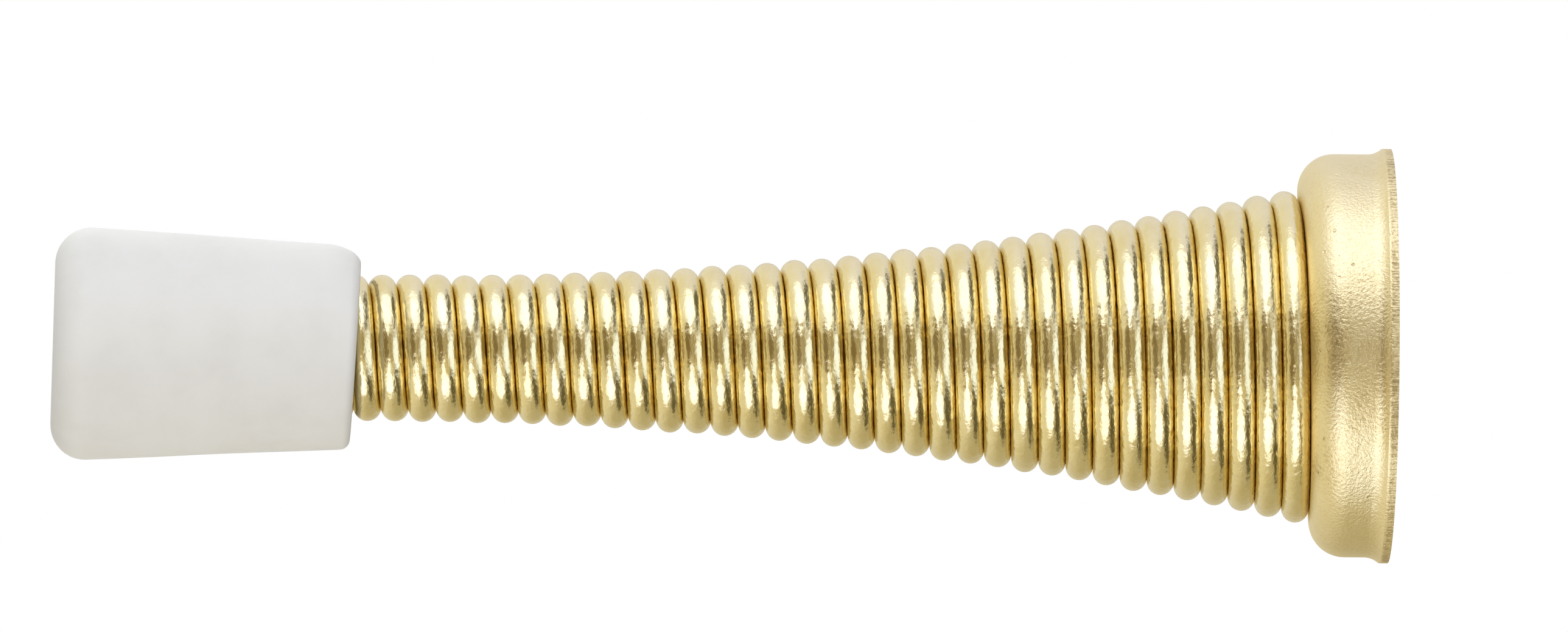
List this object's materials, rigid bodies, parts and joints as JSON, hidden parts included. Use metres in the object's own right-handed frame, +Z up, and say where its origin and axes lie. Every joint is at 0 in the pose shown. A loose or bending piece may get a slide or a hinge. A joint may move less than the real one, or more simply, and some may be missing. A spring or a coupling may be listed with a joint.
{
  "type": "spring door stop",
  "caption": "Wall-mounted door stop: a close-wound coil spring that flares into a pressed cup base, with a white rubber tip that meets the door and springs back when knocked.",
  "frame": {"origin": "centre of the base's rim, in the plane where it meets the wall", "axes": "+X along the stop's axis and into the wall, so the tip points along -X; +Z up; +Y across the stop"},
  "size_m": [0.0823, 0.0254, 0.0254],
  "materials": {
    "brass_cup": "satin plated sheet with a fine orange-peel grain",
    "brass_wire": "bright plated drawn wire with small pits",
    "white_rubber": "matte moulded, slightly translucent"
  },
  "bodies": {
    "base": {"base_cup": "brass_cup", "coil_spring": "brass_wire"},
    "tip": {"rubber_tip": "white_rubber"}
  },
  "joints": [
    {"name": "spring_flex", "type": "hinge", "parent": "base", "child": "tip", "pos_m": [-0.0233, 0, -0.00714], "axis": [0, -1, 0], "range_deg": [0, 45], "stiffness_Nm_per_rad": 0.09, "springref_deg": -6.88, "deforming": ["coil_spring"]}
  ]
}
